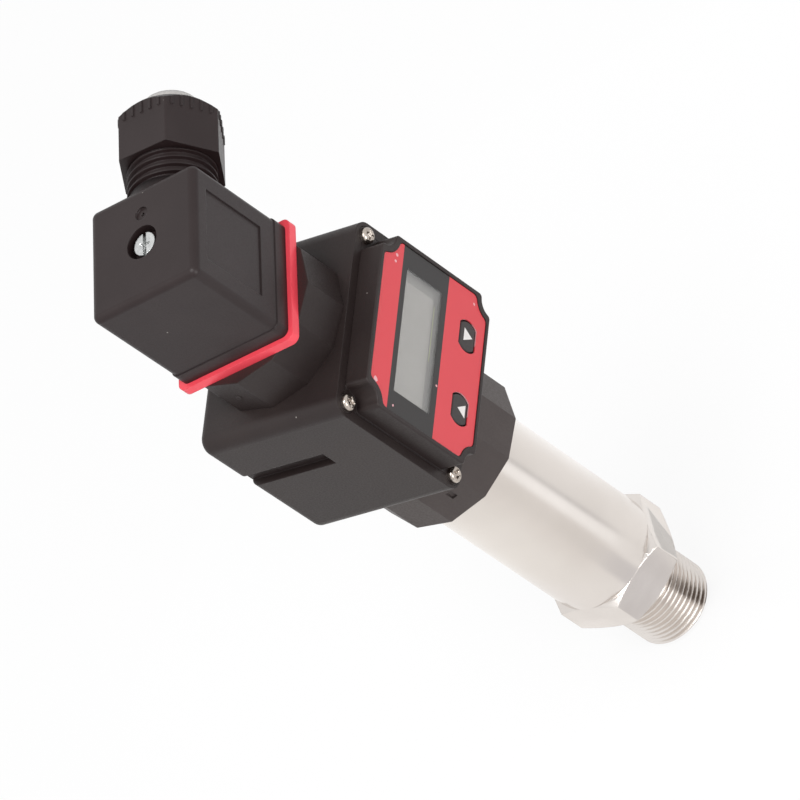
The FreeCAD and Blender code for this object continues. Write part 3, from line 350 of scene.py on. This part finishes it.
def helix_rod(name, crest, root, pitch, low, high, turns, shares):
    """A threaded rod along the axis, screwed up from one tooth, whose flank, crest, flank and root have shares of
    the pitch. It stands a little proud of both levels, for a blank to trim."""
    spare = pitch / 4
    bpy.ops.object.select_all(action="DESELECT")
    bpy.ops.mesh.primitive_plane_add(size=0.001)
    rod = added(name)
    bpy.ops.object.mode_set(mode="EDIT")
    bpy.ops.mesh.select_mode(type="VERT")
    bpy.ops.mesh.merge(type="CENTER")
    bpy.ops.transform.translate(value=(root, 0, low - 2.1 * pitch))
    for out, share in zip((crest - root, 0, root - crest, 0), shares):
        bpy.ops.mesh.extrude_region_move(TRANSFORM_OT_translate={"value": (out, 0, share * pitch)})
    bpy.ops.object.mode_set(mode="OBJECT")
    change(rod, "SCREW", screw_offset=pitch, iterations=turns, steps=64, render_steps=64)
    bpy.ops.object.mode_set(mode="EDIT")
    bpy.ops.mesh.select_all(action="SELECT")
    bpy.ops.mesh.remove_doubles(threshold=0.000001)
    for level, side in ((low - spare, -1), (high + spare, 1)):
        bpy.ops.mesh.select_all(action="SELECT")
        bpy.ops.mesh.bisect(plane_co=(0, 0, level), plane_no=(0, 0, side), use_fill=True, clear_outer=True,
                            threshold=0.0000001)
    bpy.ops.mesh.select_all(action="SELECT")
    bpy.ops.mesh.normals_make_consistent(inside=False)
    bpy.ops.object.mode_set(mode="OBJECT")
    return rod


def sleeve(name, outer, inner, low, high, chamfer):
    """A tube along the axis with its outer rims chamfered."""
    bpy.ops.object.select_all(action="DESELECT")
    bpy.ops.mesh.primitive_cylinder_add(vertices=128, radius=outer, depth=high - low,
                                        location=(0, 0, (low + high) / 2))
    tube = added(name)
    bpy.ops.object.transform_apply(location=True)
    pick(tube, "EDGE", lambda ends: abs(ends[0].z - ends[1].z) < 0.000001)
    bpy.ops.mesh.bevel(offset=chamfer, segments=1)
    bpy.ops.object.mode_set(mode="OBJECT")
    bpy.ops.mesh.primitive_cylinder_add(vertices=64, radius=inner, depth=2 * (high - low),
                                        location=(0, 0, (low + high) / 2))
    carve(tube, added("sleeve_bore"))
    return tube


thread = helix_rod("fitting_thread", thread_crest, thread_root, thread_pitch, thread_end, thread_top, 15,
                   (0.3, 0.15, 0.3, 0.25))
carve(thread, sleeve("thread_blank", thread_crest + 0.00002, 0.005, thread_end, thread_top, thread_chamfer),
      "INTERSECT")
fitting = loose_copy("process_fitting", "threaded_fitting")
pick(fitting, "FACE", lambda ends: max(p.z for p in ends) < thread_top + 0.00001
     and max(math.hypot(p.x, p.y) for p in ends) > port_clear)
bpy.ops.mesh.delete(type="FACE")
pick(fitting, "EDGE", lambda ends: all(abs(p.z - thread_top) < 0.000001 for p in ends))
bpy.ops.mesh.extrude_edges_move(TRANSFORM_OT_translate={"value": (0, 0, thread_end - thread_top + 0.0001)})
pick(fitting, "EDGE", lambda ends: all(p.z < thread_end + 0.0002 for p in ends))
bpy.ops.mesh.bridge_edge_loops()
bpy.ops.object.mode_set(mode="OBJECT")
carve(fitting, thread, "UNION")
smooth(fitting, 22)
steel, shader, place = finish("turned_stainless", Metallic=1.0)
rings = place.stretched(60, 60, 9000).noise(1.0, 2)
cloud = place.noise(70, 3)
feed(shader, Base_Color=cloud.spread(0.3, 0.7).tint((0.70, 0.655, 0.62), (0.77, 0.725, 0.69)),
     Roughness=rings.spread(0.3, 0.7, 0.17, 0.25),
     Normal=rings.bump(0.000006, 0.15, place.rounded(0.0003)))
dress(steel, fitting)
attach(fitting, "transmitter")
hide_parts("process_fitting")

# ---------------------------------------------------------------- tube
# Drawn stainless tube, ground round and welded on the fitting's spigot. It is left bare where a maker would
# mark it.
ground_steel, shader, place = finish("ground_tube", Metallic=1.0)
rings = place.stretched(30, 30, 5000).noise(1.0, 3)
cloud = place.noise(45, 3)
feed(shader, Base_Color=cloud.spread(0.3, 0.7).tint((0.72, 0.675, 0.64), (0.76, 0.715, 0.68)),
     Roughness=rings.spread(0.3, 0.7, 0.17, 0.23), Normal=rings.bump(0.000004, 0.12))
dress(ground_steel, "body_tube", "sensor_capsule", "sensor_retaining_ring")

# ---------------------------------------------------------------- sensor and amplifier
# Sealed in the tube: rubber rings, gilt pins and the amplifier's board.
rubber, shader, place = finish("black_rubber", Roughness=0.6)
feed(shader, Base_Color=place.noise(900, 2).tint((0.012, 0.012, 0.012), (0.03, 0.03, 0.03)))
dress(rubber, "sensor_o_ring", "tube_seal_ring", "cover_seal", "gland_seal")
gilt, shader, place = finish("gilt_pins", Metallic=1.0)
feed(shader, Base_Color=place.noise(700, 2).tint((0.75, 0.55, 0.22), (0.85, 0.66, 0.3)),
     Roughness=place.noise(900) * 0.5)
dress(gilt, "sensor_pins")
board, shader, place = finish("solder_mask", Roughness=0.35)
tracks = place.stretched(400, 400, 90).noise(1.0, 0)
feed(shader, Base_Color=tracks.spread(0.48, 0.52).tint((0.01, 0.10, 0.04), (0.02, 0.16, 0.07)))
dress(board, "amplifier_board", "display_board")

# ---------------------------------------------------------------- black mouldings
# Collars, display housing and its cover: black plastic with a fine grain that catches a warm sheen. Their edges
# are a little round, and some pale dust lies on them.


def black_plastic(name, dark, light, low_rough, high_rough, grain_size, grain_height, dust_share, edge):
    """A moulded black with soft edges, a grain, cloudy shine and specks of dust."""
    material, shader, place = finish(name, Specular_IOR_Level=0.34)
    grain = place.noise(grain_size, 2, 0.6)
    cloud = place.noise(60, 3)
    cells = place.tree.nodes.new("ShaderNodeTexVoronoi")
    cells.inputs["Scale"].default_value = 420
    place.tree.links.new(place.socket, cells.inputs["Vector"])
    chance, speck_size, _ = Wire(cells.outputs["Color"]).axes()
    dust = (Wire(cells.outputs["Distance"]) < speck_size * 0.09) * (chance < dust_share)
    feed(shader, Base_Color=dust.tint(cloud.spread(0.3, 0.7).tint(dark, light), (0.24, 0.22, 0.2)),
         Roughness=grain.spread(0.3, 0.7, low_rough, high_rough) + cloud * 0.06,
         Normal=grain.bump(grain_height, 0.35, place.rounded(edge)))
    return material


moulding = black_plastic("black_moulding", (0.017, 0.0105, 0.010), (0.022, 0.0145, 0.0135), 0.38, 0.5, 2600,
                         0.00004, 0.05, 0.0003)
dress(moulding, "upper_collar", "display_housing", "display_cover", "upper_lock_nut")
collar_moulding = black_plastic("collar_moulding", (0.05, 0.038, 0.036), (0.062, 0.049, 0.046), 0.42, 0.55,
                                2200, 0.00005, 0.06, 0.0003)
dress(collar_moulding, "lower_collar", "lower_lock_nut")

# ---------------------------------------------------------------- cover screws
# Four chromed pan heads with a cross recess hold the cover to the housing's bosses. The clamp screws,
# contacts, blades and the gland's washer have the same bright plating.
cover_screw_spread = (0.0196, 0.0176)
cover_screw_middle = 0.0994
cross_width, cross_reach, cross_depth = 0.00045, 0.0011, 0.0008


def cross_recess(name, width, reach, depth, low):
    """A tool for a cross recess: two crossed wedges, narrower at the bottom, standing on a level."""
    bpy.ops.object.select_all(action="DESELECT")
    bars = []
    for turn in (0, math.pi / 2):
        bpy.ops.mesh.primitive_cube_add(size=1, location=(0, 0, low + depth / 2), rotation=(0, 0, turn))
        bar = added("recess_bar")
        bar.scale = (2 * reach, width, depth)
        bpy.ops.object.transform_apply(location=True, rotation=True, scale=True)
        pick(bar, "FACE", lambda ends: all(p.z < low + depth / 2 for p in ends))
        bpy.ops.transform.resize(value=(0.4, 0.4, 1), center_override=(0, 0, low))
        bpy.ops.object.mode_set(mode="OBJECT")
        bars.append(bar)
    bars[0].name = name
    carve(bars[0], bars[1], "UNION")
    return bars[0]


screw_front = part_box("cover_screws")[0][1]
screws = loose_copy("cover_screws", "cross_head_screws")
for side in (-1, 1):
    for row in (-1, 1):
        recess = cross_recess("cover_recess", cross_width, cross_reach, cross_depth + 0.001, 0)
        recess.rotation_euler = (math.pi / 2, math.radians(20 + 35 * side + 20 * row), 0)
        recess.location = (side * cover_screw_spread[0], screw_front + cross_depth,
                           cover_screw_middle + row * cover_screw_spread[1])
        recess.select_set(True)
        bpy.context.view_layer.objects.active = recess
        bpy.ops.object.transform_apply(location=True, rotation=True)
        carve(screws, recess)
smooth(screws, 30)
chrome, shader, place = finish("bright_screws", Metallic=1.0)
feed(shader, Base_Color=place.noise(800).tint((0.34, 0.29, 0.255), (0.62, 0.56, 0.5)),
     Roughness=place.noise(900).spread(0.3, 0.7, 0.12, 0.3), Normal=place.rounded(0.00012))
dress(chrome, screws, "terminal_screws", "gland_washer", "plug_contacts", "socket_blades", "earth_blade")
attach(screws, "transmitter")
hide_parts("cover_screws")

# ---------------------------------------------------------------- label
# A printed film: red with a black band for the display, its cut edge white, chipped here and there by
# handling.
film, shader, place = finish("printed_film", Roughness=0.32)
x, _, z = place.axes()
band_low, band_high = 0.0958, 0.11085
ragged = place.noise(1500, 2) * 0.0006
band = (z > band_low) * (z < band_high)
chips = z > 1
for chip_x, chip_z, chip_size in ((-0.0145, 0.1152, 0.0006), (0.0142, 0.1131, 0.0003),
                                  (0.0158, 0.1129, 0.00035), (-0.0178, 0.1090, 0.0003),
                                  (-0.0070, 0.0963, 0.00025), (0.0168, 0.0871, 0.0003)):
    across, along = x - chip_x, z - chip_z
    away = (across * across + along * along).maths("SQRT")
    chips = chips | ((away + ragged) < chip_size + 0.0003)
facing = Wire(place.tree.nodes.new("ShaderNodeNewGeometry").outputs["Normal"]).axes()[1]
edge = (facing > -0.5) * place.noise(260, 1).spread(0.4, 0.46) * (1 - band)
printed = band.tint((0.635, 0.039, 0.053), (0.013, 0.0105, 0.0105))
feed(shader, Base_Color=(chips | edge).tint(printed, (0.72, 0.36, 0.38)),
     Normal=place.noise(260, 2).bump(0.00003, 0.3))
dress(film, "front_label")
pane, shader, place = finish("clear_film", Roughness=0.08, Alpha=0.12)
feed(shader, Base_Color=place.noise(300).tint((0.8, 0.8, 0.78), (0.85, 0.85, 0.83)))
dress(pane, "display_window")

# ---------------------------------------------------------------- display
# Grey reflective glass, unlit, darker in a band along its right side and its bottom, with a line of glue along
# the bottom.
glass, shader, place = finish("display_glass", Roughness=0.2)
x, _, z = place.axes()
darker_band_side, darker_band_low = 0.0124, 0.0987
glue_low, glue_high, glue_left, glue_right = 0.0981, 0.0983, -0.002, 0.011
# Darker along the right side and the bottom.
edge = (x > darker_band_side) | (z < darker_band_low)
glue = (z < glue_high) * (z > glue_low) * (x > glue_left) * (x < glue_right)
plate = edge.tint((0.272, 0.258, 0.238), (0.18, 0.17, 0.16))
feed(shader, Base_Color=glue.tint(plate, (0.36, 0.4, 0.16)),
     Roughness=place.noise(500, 2).spread(0.3, 0.7, 0.16, 0.24))
dress(glass, "lcd_module")

# ---------------------------------------------------------------- buttons and switches
# Two caps of soft black plastic with printed white arrows, one up and one down; each rides on its own switch.
caps, shader, place = finish("button_caps", Roughness=0.42)
x, y, z = place.axes()
arrow_half = 0.0015
up_middle, up_base, up_height = -0.0084, 0.0864, 0.0025
down_middle, down_base, down_height = 0.0088, 0.0893, 0.0028
cap_face = -0.0195
lean = (x - up_middle).maths("ABSOLUTE")
up = (z > up_base) * (lean < (up_base + up_height - z) * (arrow_half / up_height))
lean = (x - down_middle).maths("ABSOLUTE")
down = (z < down_base) * (lean < (z - down_base + down_height) * (arrow_half / down_height))
ink = (up | down) * (y < cap_face)
feed(shader, Base_Color=ink.tint(place.noise(2000).tint((0.018, 0.012, 0.012), (0.026, 0.019, 0.019)),
                                 (0.72, 0.69, 0.67)),
     Roughness=place.noise(1500, 2).spread(0.3, 0.7, 0.36, 0.48), Normal=place.rounded(0.00025))
dress(caps, "button_up", "button_down", "switch_plunger_up", "switch_plunger_down", "tact_switches")

# ---------------------------------------------------------------- gasket
# Red silicone sheet between the collar and the connector.
silicone, shader, place = finish("red_silicone", Roughness=0.42)
feed(shader, Base_Color=place.noise(200, 2).tint((0.80, 0.05, 0.075), (0.90, 0.075, 0.105)),
     Normal=place.rounded(0.0003))
dress(silicone, "flange_gasket")

# ---------------------------------------------------------------- connector
# Black plastic, a little smoother than the housing's, with a threaded brass insert inside. The cap has a dimple
# beside its screw, and its neck has a moulded thread, of which a few turns show below the gland's nut.
connector = black_plastic("connector_moulding", (0.016, 0.0085, 0.0085), (0.021, 0.0125, 0.0125), 0.34, 0.44,
                          3000, 0.00003, 0.06, 0.0003)
cap_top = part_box("plug_housing")[1][2]
gland_turn = math.radians(9.75)
dimple_reach, centre_radius, centre_depth = 0.0071, 0.00042, 0.0022
gland_level = 0.15305
neck_low, neck_high, neck_core = 0.0158, 0.0227, 0.0084
neck_crest, neck_root, neck_pitch = 0.0094, 0.00855, 0.0018
run_in, run_out = 0.0002, 0.0003
cap = loose_copy("plug_housing", "connector_cap")
bpy.ops.object.select_all(action="DESELECT")
bpy.ops.mesh.primitive_cylinder_add(vertices=24, radius=centre_radius, depth=centre_depth, location=(
    dimple_reach * math.cos(gland_turn), dimple_reach * math.sin(gland_turn), cap_top))
carve(cap, added("dimple_centre"))
neck_cut = sleeve("neck_cut", 0.0098, neck_core, neck_low, neck_high, 0.0001)
neck_thread = helix_rod("neck_thread", neck_crest, neck_root, neck_pitch, neck_low - run_in,
                        neck_high + run_out, 9, (0.16, 0.12, 0.16, 0.56))
carve(neck_thread, sleeve("neck_blank", 0.0096, 0.0080, neck_low - run_in, neck_high + run_out, 0.00033),
      "INTERSECT")
for turned_part, join in ((neck_cut, "DIFFERENCE"), (neck_thread, "UNION")):
    bpy.ops.object.select_all(action="DESELECT")
    turned_part.rotation_euler = (0, math.pi / 2, gland_turn)
    turned_part.location = (0, 0, gland_level)
    turned_part.select_set(True)
    bpy.context.view_layer.objects.active = turned_part
    bpy.ops.object.transform_apply(location=True, rotation=True)
    carve(cap, turned_part, join)
smooth(cap, 25)
change(cap, "WEIGHTED_NORMAL", keep_sharp=True, weight=100)
dress(connector, cap, "plug_insert", "socket_base", "gland_nut")
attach(cap, "transmitter")
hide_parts("plug_housing")
brass, shader, place = finish("brass_nut", Metallic=1.0)
feed(shader, Base_Color=place.noise(800).tint((0.6, 0.43, 0.2), (0.7, 0.52, 0.25)),
     Roughness=place.noise(900) * 0.6)
dress(brass, "socket_insert_nut")

# ---------------------------------------------------------------- connector's screw
# One long screw with a slot and a cross, zinc plated, sunk in the cap's well.
screw_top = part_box("plug_screw")[1][2]
plug_screw = loose_copy("plug_screw", "slotted_cross_screw")
carve(plug_screw, cross_recess("plug_recess", 0.0007, 0.0017, 0.0025, screw_top - 0.0015))
smooth(plug_screw, 30)
zinc, shader, place = finish("bright_zinc", Metallic=1.0)
nicks = place.noise(1400, 3)
feed(shader, Base_Color=nicks.tint((0.42, 0.43, 0.43), (0.8, 0.81, 0.8)),
     Roughness=nicks.spread(0.3, 0.7, 0.15, 0.4),
     Normal=nicks.bump(0.0001, 0.5, place.rounded(0.0003)))
dress(zinc, plug_screw)
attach(plug_screw, "transmitter")
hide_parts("plug_screw")

# ---------------------------------------------------------------- gland
# The nut presses a washer and a rubber seal round the cable; with no cable fitted, a grey dust plug fills it.
outward = Vector((math.cos(gland_turn), math.sin(gland_turn), 0))
dust_plug = loose_copy("gland_dust_plug", "domed_dust_plug")
dome_start, dome_rise = 0.0357, 0.0013
pick(dust_plug, "FACE", lambda ends: min(p.dot(outward) for p in ends) > dome_start)
bpy.ops.transform.translate(value=outward * dome_rise)
bpy.ops.object.mode_set(mode="OBJECT")
smooth(dust_plug, 30)
grey_cap, shader, place = finish("dust_cap_grey", Roughness=0.35)
feed(shader, Base_Color=place.noise(300).tint((0.44, 0.42, 0.4), (0.56, 0.54, 0.52)),
     Normal=place.rounded(0.0003))
dress(grey_cap, dust_plug)
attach(dust_plug, "gland_slip")
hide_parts("gland_dust_plug")

# ---------------------------------------------------------------- wires
# Thin single wires in red silicone from the amplifier to the display board and from there to the connector.
cover_red, shader, place = finish("wire_covering", Roughness=0.4)
feed(shader, Base_Color=place.noise(300).tint((0.4, 0.03, 0.03), (0.5, 0.05, 0.04)))
dress(cover_red, "lower_wires", "upper_wires")
